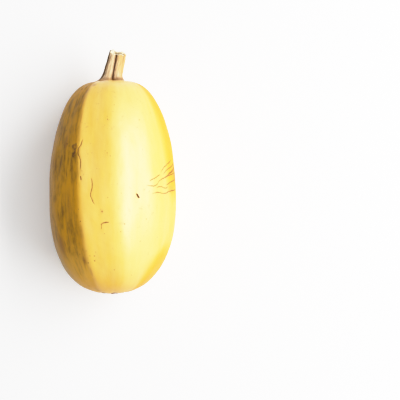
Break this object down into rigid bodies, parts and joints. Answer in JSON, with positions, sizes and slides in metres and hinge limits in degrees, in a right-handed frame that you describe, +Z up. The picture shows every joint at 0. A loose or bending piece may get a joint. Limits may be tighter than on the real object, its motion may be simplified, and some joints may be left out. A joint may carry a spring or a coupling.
{
  "type": "spaghetti squash",
  "caption": "Whole spaghetti squash lying on its side: a ribbed oblong fruit with its cut woody stem and its blossom scar.",
  "frame": {"origin": "centre of the ground spot, the flattened patch of rind on which the fruit rests", "axes": "+Z up from the surface that the fruit lies on, +Y along the fruit's long axis towards the stem, +X to its right seen from above"},
  "size_m": [0.1323, 0.2537, 0.1269],
  "materials": {
    "squash_rind": "waxy satin rind, golden yellow with paler streaks and small corky marks",
    "dry_stem": "dry, corky and finely furrowed along its length",
    "blossom_cork": "dull brown cork"
  },
  "bodies": {
    "root": {"fruit": "squash_rind", "stem": "dry_stem", "blossom_scar": "blossom_cork"}
  },
  "joints": []
}
